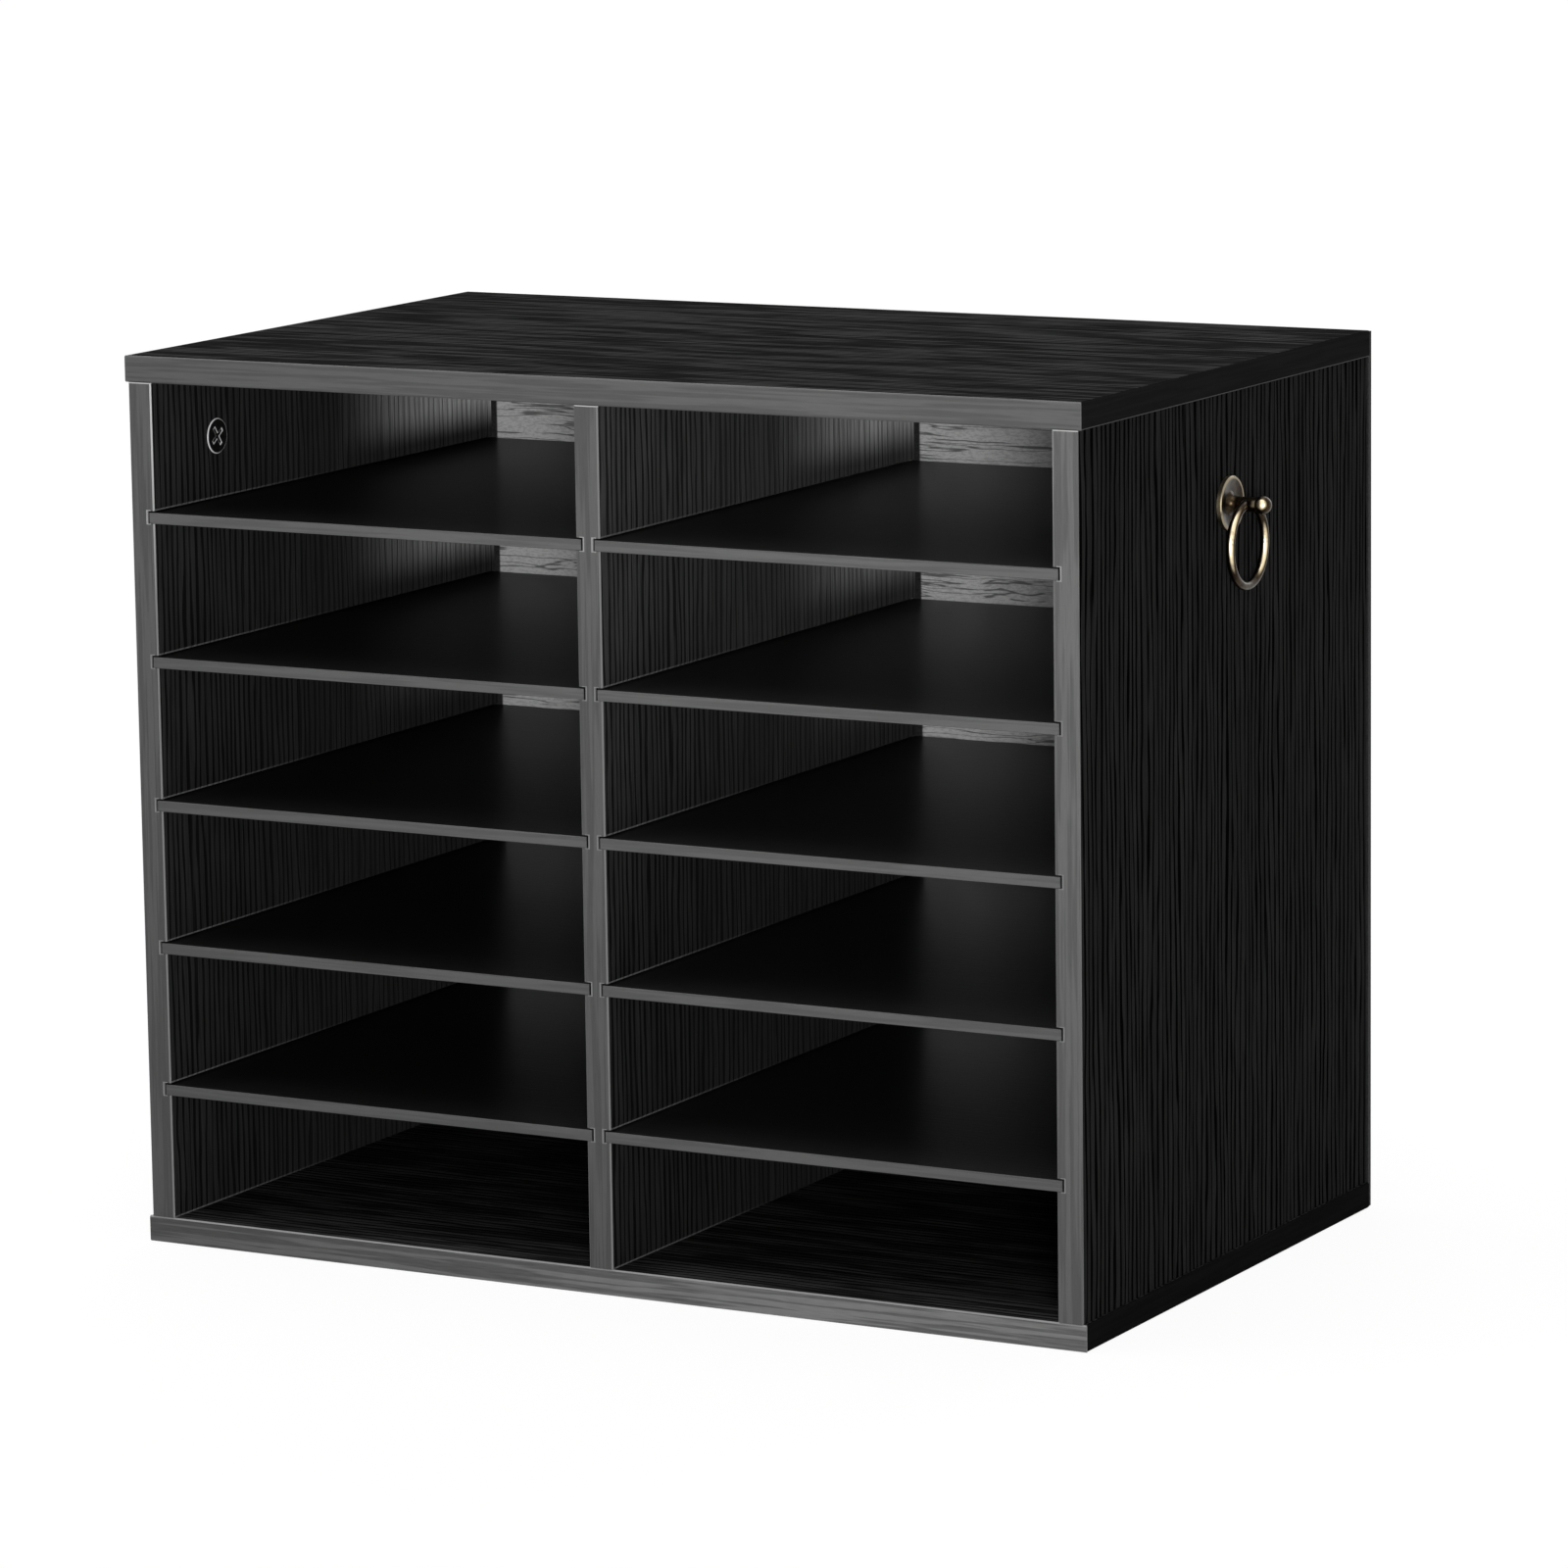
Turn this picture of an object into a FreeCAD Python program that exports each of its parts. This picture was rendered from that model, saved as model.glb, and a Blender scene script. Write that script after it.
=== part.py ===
import FreeCAD, Part
import math
import os

# Mail sorter: a board cabinet with two columns of pigeonholes, sliding shelves in saw-cut grooves
# and a ring pull on each side. X runs to the right, Y to the back and Z up, in millimetres.
# The origin is the middle of the footprint, on the surface that the cabinet stands on.

V = FreeCAD.Vector

# Cabinet, outside
cabinet_width = 480.0
cabinet_depth = 302.0
cabinet_height = 410.0
board = 12.0            # thickness of the top, bottom, sides and divider
side_inset = 1.5        # how far the top and bottom reach past the sides
back_sheet = 3.0        # thickness of the back panel
back_sheet_inset = 0.5  # back panel's edges behind the carcass's outline
rear_bevel = 1.5        # on the uprights' rear corners, the dark line beside the back panel

# Edge bands
band = 1.0
band_bevel = 0.6
shelf_band = 0.6
shelf_band_bevel = 0.3

# Shelves and their grooves
shelves_per_column = 5
shelf = 5.0             # thickness
lowest_clear = 57.6     # clear height of the lowest pigeonhole
shelf_pitch = 66.1
groove_depth = 3.5
groove_play = 0.8       # height of a groove over the shelf's thickness
shelf_end_gap = 1.0     # from a shelf's end to the groove's floor
shelf_back_gap = 0.5    # from a shelf's rear edge to the back panel

# Joints between the boards
fitting_setback = 53.5  # front and rear rows of fittings, from the boards' front and rear edges
cam_diameter = 15.0
cam_floor = 2.5         # board left behind the cam
cam_drop = 30.0         # cam's centre below the top panel
cam_rim = 0.4           # height of the cam's rim over the board's face
cam_rim_diameter = 16.4
cam_cross = 9.0         # length of the cross slot
cam_cross_width = 1.8
cam_cross_depth = 1.8
cam_cross_turn = 35.0   # degrees
claw_play = 0.3         # round the bolt's head and neck in the cam
bolt_head_diameter = 6.6
bolt_head = 3.0         # length of the head
bolt_head_seat = 1.0    # top of the head above the cam's centre
bolt_neck_diameter = 4.2
bolt_shaft_diameter = 6.4
bolt_shaft_play = 0.3
bolt_thread_diameter = 5.0
bolt_thread_cover = 4.0  # board left over the thread in the top panel
dowel_diameter = 6.0
dowel_length = 25.0
dowel_in_top = 8.0
dowel_end_play = 0.5
carcass_screw_length = 40.0
carcass_screw_head = 9.6
carcass_screw_shank = 5.4
screw_tip_play = 0.5
hex_key = 4.0             # across the flats
hex_key_depth = 3.0

# Ring pulls
pull_drop = 61.0        # post's centre below the cabinet's top
rosette_diameter = 24.4
rosette_rim = 2.2       # height of the rim
rosette_rim_width = 1.2
rosette_seat = 1.2      # thickness at the middle
rosette_edge_bevel = 0.4
post_foot_diameter = 11.0
post_diameter = 6.6
post_foot_length = 4.6  # length of the flared foot
ball_diameter = 8.2
ball_out = 16.5         # ball's centre from the side panel
eye_out = 9.3           # eye's centre from the side panel
eye_diameter = 4.9
ring_diameter = 40.0    # outside
ring_wire = 4.0
stud_diameter = 4.0
stud_cover = 2.0        # board left behind the stud

# Places that follow from the sizes above
front_y = -cabinet_depth / 2
rear_y = cabinet_depth / 2
board_rear_y = rear_y - back_sheet
board_front_y = front_y + band
top_z = cabinet_height - board
side_outer_x = cabinet_width / 2 - side_inset
side_inner_x = side_outer_x - board
side_mid_x = side_outer_x - board / 2
divider_x = board / 2
groove_height = shelf + groove_play
front_row_y = front_y + fitting_setback
rear_row_y = board_rear_y - fitting_setback
mid_row_y = (front_y + board_rear_y) / 2
cam_depth = board - cam_floor
cam_z = top_z - cam_drop
pull_z = cabinet_height - pull_drop
past = 2.0              # how far a cutting tool runs past the face that it opens


def box(x0, x1, y0, y1, z0, z1):
    return Part.makeBox(x1 - x0, y1 - y0, z1 - z0, V(x0, y0, z0))


def rod(diameter, start, end):
    run = end - start
    return Part.makeCylinder(diameter / 2, run.Length, start, run)


def carve(solid, tools):
    # The solid without the tools, as one clean solid
    return solid.cut(tools).removeSplitter().Solids[0]


def prism(corners, run):
    face = Part.Face(Part.makePolygon(corners + corners[:1]))
    return face.extrude(run)


def turned(outline, start, direction):
    # A solid of revolution. The outline's points are (distance along the axis, radius), and a
    # point given as a pair of points is an arc: its middle and its end.
    edges = []
    last = V(outline[0][0], outline[0][1], 0)
    for step in outline[1:] + outline[:1]:
        if isinstance(step[0], tuple):
            middle = V(step[0][0], step[0][1], 0)
            end = V(step[1][0], step[1][1], 0)
            edges.append(Part.Arc(last, middle, end).toShape())
        else:
            end = V(step[0], step[1], 0)
            edges.append(Part.makeLine(last, end))
        last = end
    profile = Part.Face(Part.Wire(edges))
    solid = profile.revolve(V(0, 0, 0), V(1, 0, 0), 360)
    solid.Placement = FreeCAD.Placement(start, FreeCAD.Rotation(V(1, 0, 0), direction))
    return solid


def mirrored(solid):
    return solid.mirror(V(0, 0, 0), V(1, 0, 0))


def both_sides(solids):
    return solids + [mirrored(one) for one in solids]


def strip_section(low, high, outer, inner, bevel):
    # Section of an edge band as (across, out) pairs, with both outer corners bevelled
    shoulder = outer + math.copysign(bevel, inner - outer)
    return [
        (low, inner),
        (low, shoulder),
        (low + bevel, outer),
        (high - bevel, outer),
        (high, shoulder),
        (high, inner),
    ]


# Boards

def shelf_bottoms():
    first = board + lowest_clear
    return [first + number * shelf_pitch for number in range(shelves_per_column)]


def groove_cuts(x0, x1):
    cuts = []
    for z in shelf_bottoms():
        cuts.append(box(x0, x1, front_y - past, board_rear_y + past, z, z + groove_height))
    return cuts


def rear_corner_cut(x, towards):
    # Bevel on an upright's rear corner at x, where the board lies towards +1 or -1
    corners = [
        V(x, board_rear_y - rear_bevel, board),
        V(x + towards * rear_bevel, board_rear_y, board),
        V(x, board_rear_y, board),
    ]
    return prism(corners, V(0, 0, top_z - board))


def upright_grooves():
    right = groove_cuts(side_inner_x, side_inner_x + groove_depth)
    divider_right = groove_cuts(divider_x - groove_depth, divider_x)
    return right, divider_right + [mirrored(one) for one in divider_right]


def right_side_panel():
    panel = box(side_inner_x, side_outer_x, board_front_y, board_rear_y, board, top_z)
    grooves, _ = upright_grooves()
    fittings = cam_hole() + dowel_holes() + carcass_screw_holes()
    return carve(panel, grooves + fittings + [stud_hole(), rear_corner_cut(side_inner_x, 1)])


def centre_divider():
    panel = box(-divider_x, divider_x, board_front_y, board_rear_y, board, top_z)
    _, grooves = upright_grooves()
    corners = [rear_corner_cut(divider_x, -1), rear_corner_cut(-divider_x, 1)]
    return carve(panel, grooves + corners + dowel_holes() + carcass_screw_holes())


def upright_band(x0, x1, grooves):
    section = strip_section(x0, x1, front_y, board_front_y, band_bevel)
    strip = prism([V(across, out, board) for across, out in section], V(0, 0, top_z - board))
    return carve(strip, grooves)


def flat_panel(z0):
    reach = cabinet_width / 2 - band
    panel = box(-reach, reach, board_front_y, board_rear_y, z0, z0 + board)
    return carve(panel, carcass_screw_holes() + dowel_holes() + bolt_thread_holes())


def flat_panel_front_band(z0):
    section = strip_section(z0, z0 + board, front_y, board_front_y, band_bevel)
    start = -cabinet_width / 2
    return prism([V(start, out, across) for across, out in section], V(cabinet_width, 0, 0))


def flat_panel_right_band(z0):
    edge = cabinet_width / 2
    section = strip_section(z0, z0 + board, edge, edge - band, band_bevel)
    corners = [V(out, board_front_y, across) for across, out in section]
    return prism(corners, V(0, board_rear_y - board_front_y, 0))


def back_panel():
    reach = cabinet_width / 2 - back_sheet_inset
    top = cabinet_height - back_sheet_inset
    return box(-reach, reach, board_rear_y, rear_y, back_sheet_inset, top)


# Shelves

def shelf_span():
    start = divider_x - groove_depth + shelf_end_gap
    end = side_inner_x + groove_depth - shelf_end_gap
    return start, end


def right_shelf(z):
    start, end = shelf_span()
    return box(start, end, front_y + shelf_band, board_rear_y - shelf_back_gap, z, z + shelf)


def right_shelf_band(z):
    start, end = shelf_span()
    section = strip_section(z, z + shelf, front_y, front_y + shelf_band, shelf_band_bevel)
    return prism([V(start, out, across) for across, out in section], V(end - start, 0, 0))


# Cam fittings in the right side panel

def cam_hole():
    face = V(side_inner_x, front_row_y, cam_z)
    pocket = rod(cam_diameter, face - V(past, 0, 0), face + V(cam_depth, 0, 0))
    channel_diameter = bolt_shaft_diameter + 2 * bolt_shaft_play
    top = V(side_mid_x, front_row_y, top_z)
    channel = rod(channel_diameter, V(side_mid_x, front_row_y, cam_z), top + V(0, 0, past))
    return [pocket, channel]


def bolt_thread_length():
    return board - bolt_thread_cover


def bolt_thread_holes():
    start = V(side_mid_x, front_row_y, top_z)
    return both_sides([rod(bolt_thread_diameter, start, start + V(0, 0, bolt_thread_length()))])


def right_cam_lock():
    face_r = cam_rim_diameter / 2
    body_r = cam_diameter / 2
    outline = [(-cam_rim, 0), (-cam_rim, face_r - cam_rim), (0, face_r), (0, body_r),
               (cam_depth, body_r), (cam_depth, 0)]
    centre = V(side_inner_x, front_row_y, cam_z)
    cam = turned(outline, centre, V(1, 0, 0))

    # The cross slot for the screwdriver
    half = cam_cross / 2
    edge = cam_cross_width / 2
    floor = cam_cross_depth - cam_rim
    arm = Part.makeBox(floor + cam_rim + past, cam_cross, cam_cross_width, V(-cam_rim - past, -half, -edge))
    cuts = []
    for turn in (cam_cross_turn, cam_cross_turn + 90):
        slot = arm.copy()
        slot.Placement = FreeCAD.Placement(centre, FreeCAD.Rotation(V(1, 0, 0), turn))
        cuts.append(slot)

    # The claw: a pocket round the bolt's head and a narrower way up for its neck
    head = bolt_head_diameter / 2 + claw_play
    neck = bolt_neck_diameter / 2 + claw_play
    seat_z = cam_z + bolt_head_seat
    low_z = seat_z - bolt_head - claw_play
    cuts.append(box(side_mid_x - head, side_mid_x + head, front_row_y - head, front_row_y + head,
                    low_z, seat_z))
    cuts.append(box(side_mid_x - neck, side_mid_x + neck, front_row_y - neck, front_row_y + neck,
                    seat_z, cam_z + body_r + past))
    return carve(cam, cuts)


def right_cam_bolt():
    neck_top = cam_diameter / 2 - bolt_head_seat
    shaft_top = cam_drop - bolt_head_seat
    tip = shaft_top + bolt_thread_length()
    outline = [(-bolt_head, 0), (-bolt_head, bolt_head_diameter / 2), (0, bolt_head_diameter / 2),
               (0, bolt_neck_diameter / 2), (neck_top, bolt_neck_diameter / 2),
               (neck_top, bolt_shaft_diameter / 2), (shaft_top, bolt_shaft_diameter / 2),
               (shaft_top, bolt_thread_diameter / 2), (tip, bolt_thread_diameter / 2), (tip, 0)]
    return turned(outline, V(side_mid_x, front_row_y, cam_z + bolt_head_seat), V(0, 0, 1))


# Dowels, from the uprights into the top panel

def dowel_places():
    # The side panels have their cams at the front, so only the divider has a front dowel
    return [(x, rear_row_y) for x in (-side_mid_x, 0, side_mid_x)] + [(0, front_row_y)]


def dowel_holes():
    low = top_z - dowel_length + dowel_in_top - dowel_end_play
    high = top_z + dowel_in_top + dowel_end_play
    return [rod(dowel_diameter, V(x, y, low), V(x, y, high)) for x, y in dowel_places()]


def wooden_dowels():
    low = top_z - dowel_length + dowel_in_top
    high = top_z + dowel_in_top
    return [rod(dowel_diameter, V(x, y, low), V(x, y, high)) for x, y in dowel_places()]


# Carcass screws, up through the bottom panel into the uprights

def carcass_screw_places():
    return [(x, y) for x in (-side_mid_x, 0, side_mid_x) for y in (front_row_y, rear_row_y)]


def carcass_screw_solid(length):
    # Countersunk, flush with the underside
    head_r = carcass_screw_head / 2
    shank_r = carcass_screw_shank / 2
    outline = [(0, 0), (0, head_r), (head_r - shank_r, shank_r), (length, shank_r), (length, 0)]
    return turned(outline, V(0, 0, 0), V(0, 0, 1))


def at_carcass_screws(solid):
    return [solid.translated(V(x, y, 0)) for x, y in carcass_screw_places()]


def carcass_screw_holes():
    return at_carcass_screws(carcass_screw_solid(carcass_screw_length + screw_tip_play))


def carcass_screws():
    corner = V(hex_key / math.sqrt(3), 0, -past)
    turns = [FreeCAD.Rotation(V(0, 0, 1), 60 * number) for number in range(6)]
    socket = prism([turn.multVec(corner) for turn in turns], V(0, 0, past + hex_key_depth))
    return at_carcass_screws(carve(carcass_screw_solid(carcass_screw_length), [socket]))


# Ring pull on the right side

def pull_centre():
    return V(side_outer_x, mid_row_y, pull_z)


def stud_length():
    return board - stud_cover


def stud_hole():
    return rod(stud_diameter, pull_centre() + V(past, 0, 0), pull_centre() - V(stud_length(), 0, 0))


def right_pull_rosette():
    # A dished disc with a raised rim, pierced for the stud
    rim_r = rosette_diameter / 2
    crest_r = rim_r - rosette_edge_bevel
    dish_r = rim_r - rosette_rim_width
    foot_r = post_foot_diameter / 2
    stud_r = stud_diameter / 2
    middle = (rosette_seat + 0.3 * (rosette_rim - rosette_seat), (dish_r + foot_r) / 2)
    outline = [(0, stud_r), (0, rim_r), (rosette_rim - rosette_edge_bevel, rim_r),
               (rosette_rim, crest_r), (rosette_rim, dish_r), (middle, (rosette_seat, foot_r)),
               (rosette_seat, stud_r)]
    return turned(outline, pull_centre(), V(1, 0, 0))


def right_pull_post():
    # Screw stud, flared foot, straight post with the ring's eye, and the ball at its end
    stud_r = stud_diameter / 2
    foot_r = post_foot_diameter / 2
    post_r = post_diameter / 2
    ball_r = ball_diameter / 2
    foot_end = rosette_seat + post_foot_length
    middle = (rosette_seat + 0.32 * post_foot_length, post_r + 0.32 * (foot_r - post_r))
    ball_start = ball_out - math.sqrt(ball_r ** 2 - post_r ** 2)
    outline = [(-stud_length(), 0), (-stud_length(), stud_r), (rosette_seat, stud_r),
               (rosette_seat, foot_r), (middle, (foot_end, post_r)), (ball_start, post_r),
               ((ball_out, ball_r), (ball_out + ball_r, 0))]
    post = turned(outline, pull_centre(), V(1, 0, 0))
    eye_centre = pull_centre() + V(eye_out, 0, 0)
    reach = V(0, post_diameter, 0)
    return carve(post, [rod(eye_diameter, eye_centre - reach, eye_centre + reach)])


def right_pull_ring():
    # Hanging in the eye, with the wire's centre line on the eye's centre
    bend_r = (ring_diameter - ring_wire) / 2
    centre = pull_centre() + V(eye_out, 0, -bend_r)
    return Part.makeTorus(bend_r, ring_wire / 2, centre, V(1, 0, 0))


# Every node of the finished cabinet

def save(name, solids):
    shape = solids[0] if len(solids) == 1 else Part.makeCompound(solids)
    shape.exportStep("parts/" + name + ".step")


def save_pair(name, right_solid):
    save("right_" + name, [right_solid])
    save("left_" + name, [mirrored(right_solid)])


def save_flat_panel(name, z0):
    save(name + "_panel", [flat_panel(z0)])
    save(name + "_front_band", [flat_panel_front_band(z0)])
    right_band = flat_panel_right_band(z0)
    save(name + "_right_end_band", [right_band])
    save(name + "_left_end_band", [mirrored(right_band)])


def main():
    os.makedirs("parts", exist_ok=True)
    save_flat_panel("bottom", 0)
    save_flat_panel("top", top_z)

    side_grooves, divider_grooves = upright_grooves()
    save_pair("side_panel", right_side_panel())
    save_pair("side_band", upright_band(side_inner_x, side_outer_x, side_grooves))
    save("centre_divider", [centre_divider()])
    save("divider_band", [upright_band(-divider_x, divider_x, divider_grooves)])
    save("back_panel", [back_panel()])

    for number, z in enumerate(shelf_bottoms(), 1):
        save_pair("shelf_" + str(number), right_shelf(z))
        save_pair("shelf_band_" + str(number), right_shelf_band(z))

    save("cam_locks", both_sides([right_cam_lock()]))
    save("cam_bolts", both_sides([right_cam_bolt()]))
    save("wooden_dowels", wooden_dowels())
    save("carcass_screws", carcass_screws())

    save_pair("pull_rosette", right_pull_rosette())
    save_pair("pull_post", right_pull_post())
    save_pair("pull_ring", right_pull_ring())


main()
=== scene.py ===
import math

import bmesh
import bpy
from mathutils import Matrix, Vector


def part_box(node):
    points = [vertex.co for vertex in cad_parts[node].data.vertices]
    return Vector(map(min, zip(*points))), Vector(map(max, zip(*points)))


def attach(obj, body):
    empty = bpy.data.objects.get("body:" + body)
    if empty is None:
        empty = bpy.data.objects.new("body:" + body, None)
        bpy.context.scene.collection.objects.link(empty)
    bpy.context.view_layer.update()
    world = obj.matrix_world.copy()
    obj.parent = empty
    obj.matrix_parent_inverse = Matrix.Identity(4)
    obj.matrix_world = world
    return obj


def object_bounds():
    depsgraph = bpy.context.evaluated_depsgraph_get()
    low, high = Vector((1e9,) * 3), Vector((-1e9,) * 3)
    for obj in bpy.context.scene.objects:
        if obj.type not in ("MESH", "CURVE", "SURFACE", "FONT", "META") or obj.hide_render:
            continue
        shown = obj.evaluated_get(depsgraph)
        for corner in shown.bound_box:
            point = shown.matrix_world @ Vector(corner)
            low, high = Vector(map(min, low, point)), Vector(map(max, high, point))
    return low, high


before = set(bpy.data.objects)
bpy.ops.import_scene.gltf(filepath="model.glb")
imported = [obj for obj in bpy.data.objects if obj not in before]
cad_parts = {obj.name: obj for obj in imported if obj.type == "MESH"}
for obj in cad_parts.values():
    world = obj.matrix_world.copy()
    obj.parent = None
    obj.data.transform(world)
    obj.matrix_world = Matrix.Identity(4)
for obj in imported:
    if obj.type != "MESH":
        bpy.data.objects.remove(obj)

cad_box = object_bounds()
SIDES = ("left", "right")
SHELF_NUMBERS = range(1, 6)
X_AXIS, Y_AXIS, Z_AXIS = range(3)

# Sizes in metres
groove_height = 0.0058
groove_depth = 0.0035
ball_radius = 0.0041
pore_period = 0.0045            # from one pore to the next, across the grain
slack = 0.0003                  # by which a mask reaches past a face or a groove's end, to take it in
# lip_line and notch_line size the painted highlight lines over the grooves and round the notches
lip_line = 0.0007               # height of the light line over a groove or the bottom panel
notch_line = 0.0004             # width of the light line round a notch

# Places read from the frame, in metres
side_low, side_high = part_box("right_side_panel")
inner_x = side_low.x            # inner face of the right side panel
divider_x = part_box("centre_divider")[1].x
front_y = cad_box[0][1]
sheet_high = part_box("back_panel")[1]
shelf_lows = [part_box("right_shelf_%d" % number)[0].z for number in SHELF_NUMBERS]
shelf_pitch = shelf_lows[1] - shelf_lows[0]
rosette_low, rosette_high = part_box("right_pull_rosette")
rosette_radius = (rosette_high.z - rosette_low.z) / 2
pull_y = (rosette_low.y + rosette_high.y) / 2
pull_z = (rosette_low.z + rosette_high.z) / 2
ball_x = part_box("right_pull_post")[1].x - ball_radius
cam_low, cam_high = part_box("cam_locks")
cam_radius = (cam_high.z - cam_low.z) / 2
cam_y = (cam_low.y + cam_high.y) / 2
cam_z = (cam_low.z + cam_high.z) / 2


# Camera, at the photograph's angle

def place_camera():
    yaw = math.radians(28.657)
    pitch = math.radians(9.861)
    roll = math.radians(-0.793)
    eye = Vector((1.5365, -2.7867, 0.7597))
    forward = Vector((-math.sin(yaw) * math.cos(pitch), math.cos(yaw) * math.cos(pitch), -math.sin(pitch)))
    level_right = Vector((math.cos(yaw), math.sin(yaw), 0))
    level_up = level_right.cross(forward)
    right = math.cos(roll) * level_right + math.sin(roll) * level_up
    up = math.cos(roll) * level_up - math.sin(roll) * level_right
    data = bpy.data.cameras.new("camera")
    data.lens = 161.72
    data.sensor_width = 36
    camera = bpy.data.objects.new("camera", data)
    camera.matrix_world = Matrix((
        (right.x, up.x, -forward.x, eye.x),
        (right.y, up.y, -forward.y, eye.y),
        (right.z, up.z, -forward.z, eye.z),
        (0, 0, 0, 1),
    ))
    bpy.context.scene.collection.objects.link(camera)
    bpy.context.scene.camera = camera


# Materials

class Graph:
    # A material with a Principled shader and short calls for the nodes that feed it

    def __init__(self, name, **sockets):
        self.material = bpy.data.materials.new(name)
        self.material.use_nodes = True
        self.tree = self.material.node_tree
        self.tree.nodes.clear()
        self.output = self.tree.nodes.new("ShaderNodeOutputMaterial")
        self.shader = self.add("BsdfPrincipled")
        self.tree.links.new(self.shader.outputs[0], self.output.inputs[0])
        self.set(**sockets)

    def put(self, socket, value):
        if isinstance(value, bpy.types.NodeSocket):
            self.tree.links.new(value, socket)
        elif isinstance(value, tuple) and len(value) == 3 and socket.type == "RGBA":
            socket.default_value = value + (1,)
        else:
            socket.default_value = value

    def feed(self, node, **values):
        for name, value in values.items():
            self.put(node.inputs[name.replace("_", " ")], value)

    def set(self, **values):
        self.feed(self.shader, **values)

    def add(self, kind, *values, **settings):
        made = self.tree.nodes.new("ShaderNode" + kind)
        for key, value in settings.items():
            setattr(made, key, value)
        for socket, value in zip(made.inputs, values):
            self.put(socket, value)
        return made

    def math(self, operation, *values):
        return self.add("Math", *values, operation=operation).outputs[0]

    def product(self, first, *others):
        for value in others:
            first = self.math("MULTIPLY", first, value)
        return first

    def greatest(self, first, *others):
        for value in others:
            first = self.math("MAXIMUM", first, value)
        return first

    def below(self, value, limit):
        return self.math("LESS_THAN", value, limit)

    def above(self, value, limit):
        return self.math("GREATER_THAN", value, limit)

    def distance(self, value, mark):
        return self.math("ABSOLUTE", self.math("SUBTRACT", value, mark))

    def vector(self, operation, *values):
        return self.add("VectorMath", *values, operation=operation).outputs[0]

    def split(self, vector):
        return self.add("SeparateXYZ", vector).outputs

    def place(self):
        return self.add("TexCoord").outputs["Object"]

    def normal(self):
        return self.add("NewGeometry").outputs["True Normal"]

    def off_middle(self):
        # Distance from the cabinet's middle plane, sideways
        return self.math("ABSOLUTE", self.split(self.place())[0])

    def noise(self, vector, scale, detail=2.0, roughness=0.5):
        made = self.add("TexNoise")
        self.feed(made, Vector=vector, Scale=scale, Detail=detail, Roughness=roughness)
        return made.outputs[0]

    def between(self, value, low, high, to_low=0.0, to_high=1.0):
        # value mapped smoothly from low..high to to_low..to_high
        made = self.add("MapRange", value, low, high, to_low, to_high, interpolation_type="SMOOTHSTEP")
        return made.outputs[0]

    def mix(self, amount, one, two, data_type="RGBA", first=6, result=2):
        # A colour between one and two
        made = self.add("Mix", data_type=data_type)
        for number, value in ((0, amount), (first, one), (first + 1, two)):
            self.put(made.inputs[number], value)
        return made.outputs[result]

    def level(self, amount, one, two):
        # A number between one and two
        return self.mix(amount, one, two, data_type="FLOAT", first=2, result=0)

    def bump(self, height, depth):
        made = self.add("Bump")
        self.feed(made, Distance=depth, Height=height)
        return made.outputs["Normal"]

    def recolour(self, mask, color):
        socket = self.shader.inputs["Base Color"]
        before = socket.links[0].from_socket
        self.put(socket, self.mix(mask, before, color))


def grey(value):
    return (value, value, value)


def along_scale(along, on_grain, across):
    # Factors for x, y and z: on_grain for the grain's own axis, across for the other two
    return tuple(on_grain if axis == along else across for axis in range(3))


def long_noise(graph, along, on_grain, across, detail=1.0):
    # Noise with on_grain blotches to a metre along the grain and across blotches to a metre over it
    scaled = graph.vector("MULTIPLY", graph.place(), along_scale(along, on_grain, across))
    return graph.noise(scaled, 1.0, detail)


def grain_noise(graph, along, scale, reach, wave, wave_length=0.08, detail=2.0, roughness=0.5):
    # Noise drawn out along the grain by reach, whose lines sway by wave about once in wave_length
    slow = long_noise(graph, along, 1.0 / wave_length, 0.4 / wave_length)
    sway = graph.product(graph.math("SUBTRACT", slow, 0.5), 2 * wave)
    swayed = graph.vector("ADD", graph.place(), graph.add("CombineXYZ", sway, sway, sway).outputs[0])
    drawn = graph.vector("MULTIPLY", swayed, along_scale(along, 1.0 / reach, 1.0))
    return graph.noise(drawn, scale, detail, roughness)


def bevel_mask(graph):
    # 1 on faces that lie at about 45 degrees between two of the main directions
    straight = 0.85
    parts = [graph.math("ABSOLUTE", part) for part in graph.split(graph.normal())]
    return graph.below(graph.greatest(*parts), straight)


def inner_face_mask(graph):
    # 1 between the outer walls of the pigeonholes, these walls included
    return graph.below(graph.off_middle(), inner_x + slack)


def above_groove(graph, z, start):
    # How far z lies over the nearest groove level below it, counted from start above the shelf's underside
    level = graph.math("SUBTRACT", z, shelf_lows[0] + start - shelf_pitch)
    return graph.math("MODULO", level, shelf_pitch)


def groove_lip_highlight_mask(graph):
    # Painted highlight: 1 on the thin lines over the grooves' mouths and over the bottom panel, on the
    # uprights' inner faces, fading out towards the back
    fade_length = 0.17
    place = graph.split(graph.place())
    line = graph.below(above_groove(graph, place[2], groove_height), lip_line)
    foot = graph.below(place[2], side_low.z + lip_line)
    fade = graph.between(place[1], front_y, front_y + fade_length, 1.0, 0.0)
    return graph.product(graph.greatest(line, foot), inner_face_mask(graph), fade)


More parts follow.
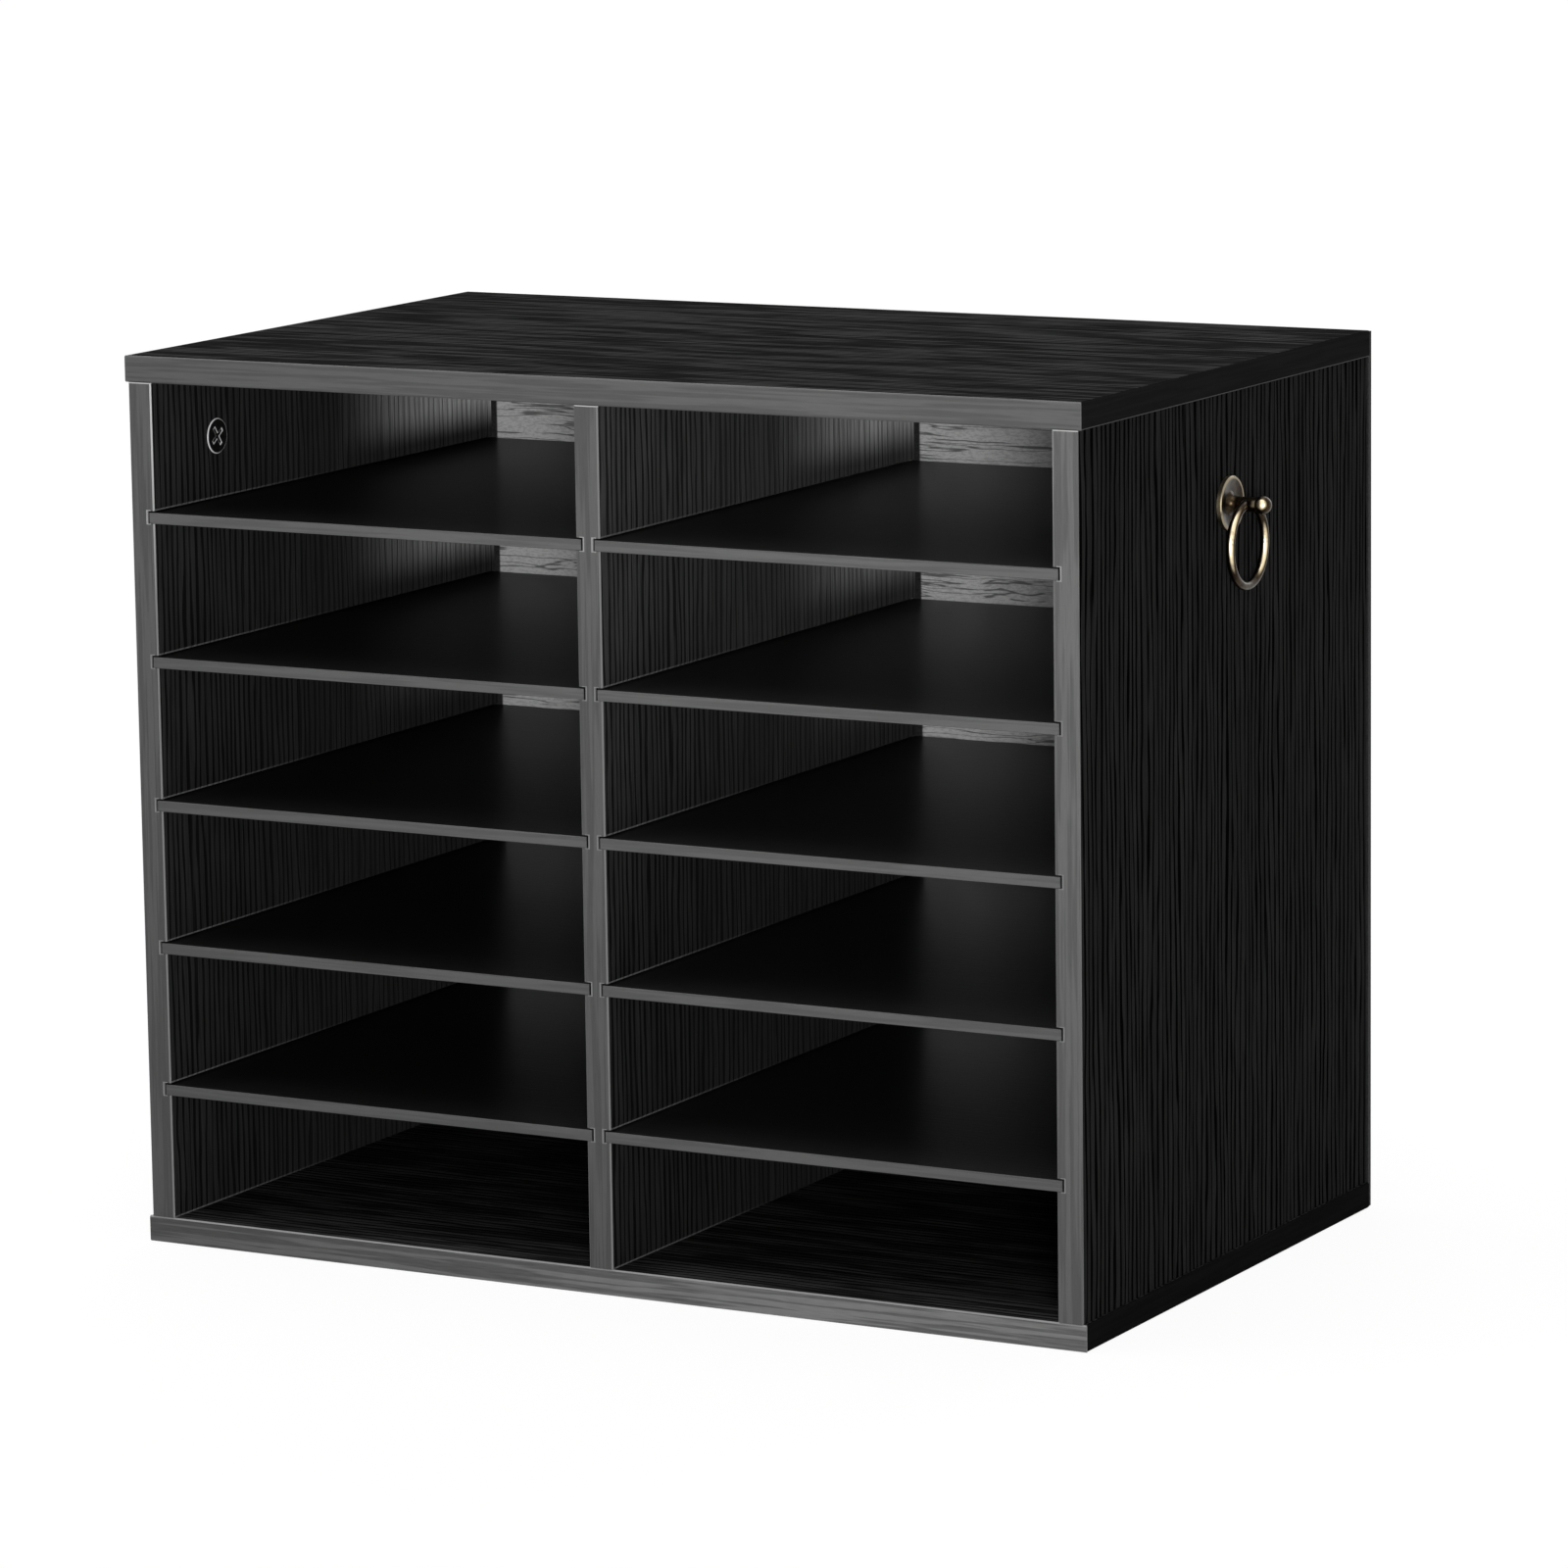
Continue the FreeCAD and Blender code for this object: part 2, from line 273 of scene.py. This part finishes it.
def notch_highlight_mask(graph, end_x, toward):
    # Painted highlight: 1 on the thin line round each groove's notch in an upright's front band. toward is 1
    # where the notch opens away from the cabinet's middle and -1 where it opens towards it
    lip_reach = 0.002
    level = above_groove(graph, graph.split(graph.place())[2], -notch_line)
    near = graph.below(level, groove_height + 2 * notch_line)
    out = graph.product(graph.math("SUBTRACT", graph.off_middle(), end_x), toward)
    end = graph.below(graph.math("ABSOLUTE", out), notch_line)
    lip = graph.greatest(graph.below(level, notch_line), graph.above(level, groove_height + notch_line))
    beside = graph.product(graph.above(out, 0.0), graph.below(out, lip_reach))
    return graph.product(near, graph.greatest(end, graph.product(beside, lip)))


def pore_lines(graph, along):
    # 1 on the flat ridges and 0 in long, slightly wavy pores, one to a period. Pores differ in width, and
    # each is shallower here and there
    shallow = 0.3
    narrow, wide = 0.06, 0.36
    parts = graph.split(graph.place())
    across = graph.math("ADD", *[parts[axis] for axis in range(3) if axis != along])
    periods = graph.math("DIVIDE", across, pore_period)
    slow = long_noise(graph, along, 6.0, 50.0)
    quick = long_noise(graph, along, 30.0, 200.0)
    drift = graph.math("ADD", graph.product(slow, 2.0), graph.product(quick, 0.5))
    saw = graph.math("FRACT", graph.math("ADD", periods, drift))
    from_pore = graph.product(graph.distance(saw, 0.5), 2.0)
    width = graph.between(long_noise(graph, along, 16.0, 420.0, detail=2.0), 0.35, 0.65, narrow, wide)
    ridge = graph.between(graph.math("SUBTRACT", from_pore, width), 0.0, 0.25)
    gap = graph.between(long_noise(graph, along, 30.0, 500.0), 0.55, 0.68, 0.0, shallow)
    return graph.greatest(ridge, gap)


def black_board(name, along, ridge, pore, patch=0.8, patch_along=7.0, inner=None):
    # Black woodgrain laminate. ridge and pore are its tones, and patch darkens it in patches. inner holds
    # what inner_faces needs
    graph = Graph(name, Roughness=0.6, Specular_IOR_Level=0.0)
    pores = pore_lines(graph, along)
    fine = grain_noise(graph, along, scale=1100.0, reach=30.0, wave=0.001)
    cloud = long_noise(graph, along, patch_along, 130.0, detail=2.0)
    tone = graph.product(pores, graph.between(fine, 0.36, 0.50, 0.7, 1.0))
    shade = graph.product(tone, graph.between(cloud, 0.38, 0.62, patch, 1.0))
    value = graph.level(shade, pore, ridge)
    if inner is not None:
        value = inner_faces(graph, value, shade, **inner)
    graph.set(Base_Color=value, Normal=graph.bump(tone, depth=0.0003))
    return graph.material


def inner_faces(graph, value, shade, ridge, pore, low, high, rear_painted_light):
    # The uprights' inner faces show less grain, and a painted highlight line over each groove. Their tone
    # runs from low at the foot to high at the top, which is painted light. rear_painted_light lightens the
    # rear of the upper ones, under each ceiling, with painted light
    # Tone of the painted highlight lines over the grooves
    lip_highlight_tone = 0.12
    place = graph.split(graph.place())
    # Painted light: lighter at the rear under each ceiling, more so in the upper pigeonholes
    under_ceiling = graph.between(above_groove(graph, place[2], groove_height), 0.003, 0.022)
    rear = graph.product(graph.between(place[1], 0.0, 0.12), under_ceiling)
    lift = graph.product(rear, graph.between(place[2], 0.19, 0.37, 0.1, rear_painted_light))
    gain = graph.product(graph.between(place[2], 0.14, 0.38, low, high), graph.math("ADD", lift, 1.0))
    plainer = graph.greatest(shade, graph.between(place[1], -0.12, 0.04, 0.0, 0.5))
    face = graph.product(graph.level(plainer, pore, ridge), gain)
    return graph.level(groove_lip_highlight_mask(graph), graph.level(inner_face_mask(graph), value, face), lip_highlight_tone)


def shelf_board(name, gloss, low, high):
    # Thin black board, nearly plain, with a faint sheen. low and high are its tones
    graph = Graph(name, Roughness=0.33, Specular_IOR_Level=gloss)
    fine = grain_noise(graph, X_AXIS, scale=1100.0, reach=30.0, wave=0.001)
    cloud = graph.noise(graph.place(), scale=160.0, detail=3.0, roughness=0.6)
    shade = graph.product(graph.between(fine, 0.36, 0.6, 0.6, 1.0), graph.between(cloud, 0.3, 0.7, 0.7, 1.0))
    graph.set(Base_Color=graph.level(shade, low, high), Normal=graph.bump(fine, depth=0.0001))
    return graph.material


def edge_band(name, along, tone, dark, gloss=0.3, left=0.72, right=1.0, foot=0.6):
    # Grey edge band with soft streaks along the grain, from dark to tone. left, right and foot scale its
    # tone towards those sides, a painted falloff of the light
    graph = Graph(name, Roughness=0.42, Specular_IOR_Level=gloss)
    streaks = grain_noise(graph, along, scale=620.0, reach=40.0, wave=0.0006, detail=1.0)
    fine = grain_noise(graph, along, scale=1500.0, reach=12.0, wave=0.0005)
    shade = graph.math("ADD", graph.between(streaks, 0.42, 0.58, 0.0, 0.75),
                       graph.between(fine, 0.3, 0.7, 0.0, 0.25))
    place = graph.split(graph.place())
    # Painted light: the tone scaled by place, by left and right across the cabinet and by foot towards the
    # bottom
    drift = graph.product(graph.between(place[0], -0.3, 0.15, left, right),
                          graph.between(place[2], -0.1, 0.45, foot, 1.0))
    graph.set(Base_Color=graph.product(graph.level(shade, dark, tone), drift),
              Normal=graph.bump(streaks, depth=0.0001))
    return graph


def flat_band(name, along, tone, dark, bevel_highlight=None, facing=-1.0, **drift):
    # Band of a level board. Where a bevel tone is given, it is a painted highlight on the lower bevel, or on
    # the upper one if facing is 1
    graph = edge_band(name, along, tone, dark, **drift)
    if bevel_highlight is not None:
        faced = graph.above(graph.product(graph.split(graph.normal())[2], facing), 0.3)
        graph.recolour(graph.product(bevel_mask(graph), faced), grey(bevel_highlight))
    return graph.material


def upright_front_band(name, end_x, toward, inner_limit, painted_highlight, right):
    # Band of an upright, with painted highlights at the grooves' ends, the top end and the bevels facing the
    # pigeonholes, brighter in its upper part. The tone passed for those bevels there is a painted highlight
    bevel_highlight_tone = 0.13
    # Tones of the painted highlight lines round the notches and at the top end, lower and higher on the band
    line_tone, highlight_line_tone = 0.14, 0.35
    top_line = 0.0005
    graph = edge_band(name, Z_AXIS, tone=0.088, dark=0.055, right=right)
    z = graph.split(graph.place())[2]
    high = graph.between(z, 0.28, 0.40)
    bevel = graph.product(bevel_mask(graph), graph.below(graph.off_middle(), inner_limit))
    graph.recolour(bevel, graph.level(high, bevel_highlight_tone, painted_highlight))
    top_end = graph.above(z, side_high.z - top_line)
    line = graph.greatest(notch_highlight_mask(graph, end_x, toward), top_end)
    graph.recolour(line, graph.level(high, line_tone, highlight_line_tone))
    return graph.material


def back_sheet():
    # Hardboard: a grey printed face with thin wavy level lines, a dark rear and edges, and a painted shadow
    # along the corners, where the print stops short of the walls
    line_tone = 0.12
    dark_print, light_print = 0.08, 0.42
    dark_fibre, light_fibre = 0.010, 0.022
    graph = Graph("back_sheet", Roughness=0.6, Specular_IOR_Level=0.1)
    waves = grain_noise(graph, X_AXIS, scale=270.0, reach=40.0, wave=0.0022, wave_length=0.03, roughness=0.6)
    line = graph.between(graph.distance(waves, 0.5), 0.006, 0.034)
    speck = grain_noise(graph, X_AXIS, scale=1300.0, reach=3.0, wave=0.001, wave_length=0.02, roughness=0.6)
    tone = graph.product(graph.level(line, line_tone, 1.0), graph.between(speck, 0.35, 0.6, 0.7, 1.0))
    fibre = graph.noise(graph.place(), scale=900.0, detail=4.0, roughness=0.7)
    rear = graph.between(fibre, 0.35, 0.65, dark_fibre, light_fibre)
    x = graph.split(graph.place())[0]
    # Painted shadow: the print stops two to three millimetres from each pigeonhole's left wall, leaving a
    # dark strip in the corner
    corners = [graph.distance(x, wall) for wall in (-inner_x, divider_x)]
    clear = graph.between(graph.math("MINIMUM", *corners), 0.0018, 0.003)
    within = graph.below(graph.off_middle(), inner_x + 0.001)
    faces_front = graph.below(graph.split(graph.normal())[1], -0.5)
    printed = graph.product(faces_front, within, clear)
    graph.set(Base_Color=graph.level(printed, rear, graph.level(tone, dark_print, light_print)),
              Normal=graph.bump(tone, depth=0.0001))
    return graph.material


def metal(name, bright, dull, roughness):
    graph = Graph(name, Metallic=1.0)
    cloud = graph.noise(graph.place(), scale=400.0, detail=4.0, roughness=0.6)
    graph.set(Base_Color=graph.mix(graph.between(cloud, 0.35, 0.65), dull, bright),
              Roughness=graph.between(cloud, 0.3, 0.7, roughness + 0.1, roughness),
              Normal=graph.bump(cloud, depth=0.00005))
    return graph


def from_centre(graph, centre_y, centre_z):
    # y and z counted from a centre, and the distance from it
    place = graph.split(graph.place())
    y = graph.math("SUBTRACT", place[1], centre_y)
    z = graph.math("SUBTRACT", place[2], centre_z)
    return y, z, graph.math("SQRT", graph.math("ADD", graph.product(y, y), graph.product(z, z)))


def cam_zinc():
    # Dark zinc, with a painted highlight of light, non-metallic grey on the cam's rim and round its cross
    # slot
    rim_width = 0.0005
    slot_turn = math.radians(-35)
    slot_half_width, slot_half_length = 0.001, 0.005
    highlight_tone = 0.6
    graph = metal("cam_zinc", bright=(0.10, 0.098, 0.094), dull=(0.05, 0.049, 0.047), roughness=0.4)
    y, z, out = from_centre(graph, cam_y, cam_z)
    rim = graph.above(out, cam_radius - rim_width)
    turn = graph.add("VectorRotate", graph.add("CombineXYZ", 0.0, y, z).outputs[0], (0, 0, 0),
                     rotation_type="X_AXIS")
    graph.feed(turn, Angle=slot_turn)
    arms = [graph.math("ABSOLUTE", part) for part in graph.split(turn.outputs[0])[1:]]
    narrow = graph.below(graph.math("MINIMUM", *arms), slot_half_width)
    short = graph.below(graph.greatest(*arms), slot_half_length)
    face = graph.below(graph.off_middle(), inner_x)
    painted_highlight = graph.greatest(rim, graph.product(narrow, short, face))
    graph.recolour(painted_highlight, grey(highlight_tone))
    graph.set(Metallic=graph.math("SUBTRACT", 1.0, painted_highlight))
    return graph.material


def antique_brass(name, toward, low, high, rim=False, ball=False):
    # Brass with a brown patina in soft blotches, and a painted highlight of bright brass on the sides that
    # face toward, from low to high as the cosine to it grows. rim adds a painted highlight round the
    # rosette's rim, and ball keeps the painted highlight to the post's end
    dark_patina, light_patina = (0.012, 0.0085, 0.005), (0.042, 0.029, 0.016)
    rim_highlight_brass, highlight_brass = (0.5, 0.42, 0.28), (0.95, 0.79, 0.52)
    graph = Graph(name, Metallic=1.0)
    cloud = graph.noise(graph.place(), scale=260.0, detail=4.0, roughness=0.65)
    ground_colour = graph.mix(graph.between(cloud, 0.35, 0.65), dark_patina, light_patina)
    if rim:
        out = from_centre(graph, pull_y, pull_z)[2]
        on_rim = graph.between(out, rosette_radius - 0.0016, rosette_radius - 0.0008)
        ground_colour = graph.mix(graph.product(on_rim, 0.5), ground_colour, rim_highlight_brass)
    facing = graph.add("VectorMath", graph.normal(), Vector(toward).normalized(), operation="DOT_PRODUCT")
    brass_highlight = graph.product(graph.between(facing.outputs["Value"], low, high),
                           graph.between(cloud, 0.3, 0.5, 0.6, 1.0))
    if ball:
        on_ball = graph.between(graph.off_middle(), ball_x - 0.0045, ball_x - 0.003)
        brass_highlight = graph.product(brass_highlight, on_ball)
    graph.set(Base_Color=graph.mix(brass_highlight, ground_colour, highlight_brass),
              Roughness=graph.between(cloud, 0.3, 0.7, 0.34, 0.28),
              Normal=graph.bump(cloud, depth=0.00005))
    return graph.material


def beech():
    graph = Graph("beech", Roughness=0.6)
    fine = grain_noise(graph, Z_AXIS, scale=900.0, reach=12.0, wave=0.0005, detail=3.0)
    graph.set(Base_Color=graph.mix(fine, (0.42, 0.27, 0.14), (0.66, 0.50, 0.32)),
              Normal=graph.bump(fine, depth=0.0001))
    return graph.material


# Which node gets which material

def dress(material, *nodes):
    for name in nodes:
        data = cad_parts[name].data
        data.materials.clear()
        data.materials.append(material)


def dress_boards():
    # Painted light on the inner walls: the divider's faces are a copy of the side panel's laminate, lighter
    # in the upper rows, and both run from darker at the foot to lighter at the top and the rear
    side_inner = dict(ridge=0.026, pore=0.006, low=0.9, high=1.1, rear_painted_light=15.0)
    divider_inner = dict(ridge=0.045, pore=0.010, low=0.5, high=1.3, rear_painted_light=6.2)
    dress(black_board("board_side", Z_AXIS, ridge=0.0165, pore=0.001, inner=side_inner),
          "left_side_panel", "right_side_panel")
    dress(black_board("board_divider", Z_AXIS, ridge=0.020, pore=0.001, inner=divider_inner),
          "centre_divider")
    # The top and bottom panels are a lighter copy of the uprights' laminate, which is painted light
    dress(black_board("board_flat", X_AXIS, ridge=0.052, pore=0.006, patch=0.25, patch_along=18.0),
          "top_panel", "bottom_panel")
    # The left shelves are a darker copy of the same board as the right ones, which is painted shade, and
    # also less glossy
    dress(shelf_board("board_shelf_left", gloss=0.035, low=0.003, high=0.009),
          *["left_shelf_%d" % number for number in SHELF_NUMBERS])
    dress(shelf_board("board_shelf_right", gloss=0.075, low=0.005, high=0.014),
          *["right_shelf_%d" % number for number in SHELF_NUMBERS])


def dress_bands():
    side_end = inner_x + groove_depth + slack
    divider_end = divider_x - groove_depth - slack
    everywhere = 1.0
    dress(flat_band("band_top", X_AXIS, tone=0.085, dark=0.057), "top_front_band")
    dress(flat_band("band_bottom", X_AXIS, tone=0.135, dark=0.055, bevel_highlight=0.22, facing=1.0, left=0.45,
                    foot=1.0),
          "bottom_front_band")
    dress(upright_front_band("band_side", side_end, toward=-1.0, inner_limit=inner_x + 0.002, painted_highlight=0.4,
                             right=1.25),
          "left_side_band", "right_side_band")
    dress(upright_front_band("band_divider", divider_end, toward=1.0, inner_limit=everywhere, painted_highlight=0.15,
                             right=1.0),
          "divider_band")
    dress(flat_band("band_end", Y_AXIS, tone=0.010, dark=0.008, gloss=0.0, bevel_highlight=0.06),
          *["%s_%s_end_band" % (level, side) for level in ("top", "bottom") for side in SIDES])
    dress(flat_band("band_shelf", X_AXIS, tone=0.095, dark=0.07),
          *["%s_shelf_band_%d" % (side, number) for side in SIDES for number in SHELF_NUMBERS])


def dress_rear_and_fittings():
    dress(back_sheet(), "back_panel")
    dress(cam_zinc(), "cam_locks")
    zinc = metal("zinc", bright=(0.34, 0.33, 0.31), dull=(0.16, 0.155, 0.15), roughness=0.4)
    dress(zinc.material, "cam_bolts")
    steel = metal("steel", bright=(0.24, 0.23, 0.22), dull=(0.12, 0.115, 0.11), roughness=0.35)
    dress(steel.material, "carcass_screws")
    dress(beech(), "wooden_dowels")
    add_back_brads(steel.material)


def dress_pulls():
    for side, sign in zip(SIDES, (-1, 1)):
        # toward is where each part's painted highlight faces, mirrored for the two sides
        rosette = antique_brass("brass_rosette_" + side, (0.3 * sign, -0.95, 0.0), low=0.80, high=0.94,
                                rim=True)
        post = antique_brass("brass_post_" + side, (0.27 * sign, -0.94, 0.2), low=0.78, high=0.98, ball=True)
        ring = antique_brass("brass_ring_" + side, (0.57 * sign, -0.79, 0.2), low=0.78, high=0.97)
        dress(rosette, side + "_pull_rosette")
        dress(post, side + "_pull_post")
        dress(ring, side + "_pull_ring")


# Brads that hold the back sheet

def add_back_brads(material):
    # Small flat heads along the rear edges of the boards
    half_board = 0.006
    head = dict(cap_ends=True, segments=16, radius1=0.002, radius2=0.0014, depth=0.0005)
    steps = 4
    mid_x = inner_x + half_board
    low_z = half_board
    high_z = sheet_high.z - low_z
    rows = [low_z + (high_z - low_z) * step / steps for step in range(steps + 1)]
    places = [(x, z) for x in (-mid_x, 0, mid_x) for z in rows]
    places += [(x, z) for x in (-mid_x / 2, mid_x / 2) for z in (low_z, high_z)]
    bm = bmesh.new()
    facing_rear = Matrix.Rotation(math.radians(-90), 4, "X")
    for x, z in places:
        bmesh.ops.create_cone(bm, matrix=Matrix.Translation((x, sheet_high.y, z)) @ facing_rear, **head)
    mesh = bpy.data.meshes.new("back_brads")
    bm.to_mesh(mesh)
    bm.free()
    mesh.materials.append(material)
    brads = bpy.data.objects.new("back_brads", mesh)
    bpy.context.scene.collection.objects.link(brads)
    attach(brads, "cabinet")


# Floor, world and lamps

def light_path_white(tree):
    # 1 for the camera's own rays and for reflected and transmitted ones
    path = tree.nodes.new("ShaderNodeLightPath")
    total = path.outputs["Is Camera Ray"]
    for name in ("Is Glossy Ray", "Is Transmission Ray"):
        both = tree.nodes.new("ShaderNodeMath")
        both.operation = "MAXIMUM"
        tree.links.new(total, both.inputs[0])
        tree.links.new(path.outputs[name], both.inputs[1])
        total = both.outputs[0]
    return total


def light_world():
    # White where it is seen, and dimmer where it lights the object
    seen, lighting = 1.0, 0.2
    world = bpy.data.worlds.new("world")
    world.use_nodes = True
    tree = world.node_tree
    background = tree.nodes["Background"]
    background.inputs["Color"].default_value = (1, 1, 1, 1)
    strength = tree.nodes.new("ShaderNodeMapRange")
    strength.inputs["To Min"].default_value = lighting
    strength.inputs["To Max"].default_value = seen
    tree.links.new(light_path_white(tree), strength.inputs["Value"])
    tree.links.new(strength.outputs[0], background.inputs["Strength"])
    bpy.context.scene.world = world


def make_floor():
    # A wide white sheet, just under the cabinet. Most of what is seen of it glows, and the rest is lit, so
    # that it shows the object's shadow
    half = 30.0
    floor_z = -0.0002
    glow_share = 0.9
    glow_strength = 1.02
    mesh = bpy.data.meshes.new("floor")
    bm = bmesh.new()
    signs = ((-1, -1), (1, -1), (1, 1), (-1, 1))
    bm.faces.new([bm.verts.new((x * half, y * half, floor_z)) for x, y in signs])
    bm.to_mesh(mesh)
    bm.free()
    floor = bpy.data.objects.new("floor", mesh)
    bpy.context.scene.collection.objects.link(floor)
    graph = Graph("floor_white", Roughness=0.9, Specular_IOR_Level=0.0, Base_Color=grey(0.97))
    glow = graph.add("Emission", (1, 1, 1), glow_strength)
    white = graph.product(light_path_white(graph.tree), glow_share)
    blend = graph.add("MixShader", white, graph.shader.outputs[0], glow.outputs[0])
    graph.put(graph.output.inputs[0], blend.outputs[0])
    mesh.materials.append(graph.material)


def add_lamp(name, kind, comes_from, energy, place=(0, 0, 0)):
    # comes_from is the direction in which the lamp lies, seen from what it lights
    data = bpy.data.lights.new(name, kind)
    data.energy = energy
    lamp = bpy.data.objects.new(name, data)
    lamp.location = place
    lamp.rotation_euler = Vector(comes_from).to_track_quat("Z", "Y").to_euler()
    bpy.context.scene.collection.objects.link(lamp)
    return data


def add_sun(name, comes_from, energy, degrees):
    add_lamp(name, "SUN", comes_from, energy).angle = math.radians(degrees)


def light_object():
    add_sun("front", (0.47, -0.87, 0.04), energy=2.1, degrees=10)
    add_sun("overhead", (0.0, -0.1, 1.0), energy=1.5, degrees=60)
    add_sun("left_fill", (-0.9, -0.2, 0.35), energy=0.9, degrees=60)
    add_sun("rear_fill", (-0.2, 0.9, 0.35), energy=1.2, degrees=60)
    key = add_lamp("key", "AREA", (2.2, -3.3, 0.5), energy=32.0, place=(2.2, -3.3, 0.9))
    key.shape = "RECTANGLE"
    key.size = 0.6
    key.size_y = 1.8


bpy.context.scene.view_settings.view_transform = "Standard"
place_camera()
dress_boards()
dress_bands()
dress_rear_and_fittings()
dress_pulls()
light_world()
make_floor()
light_object()
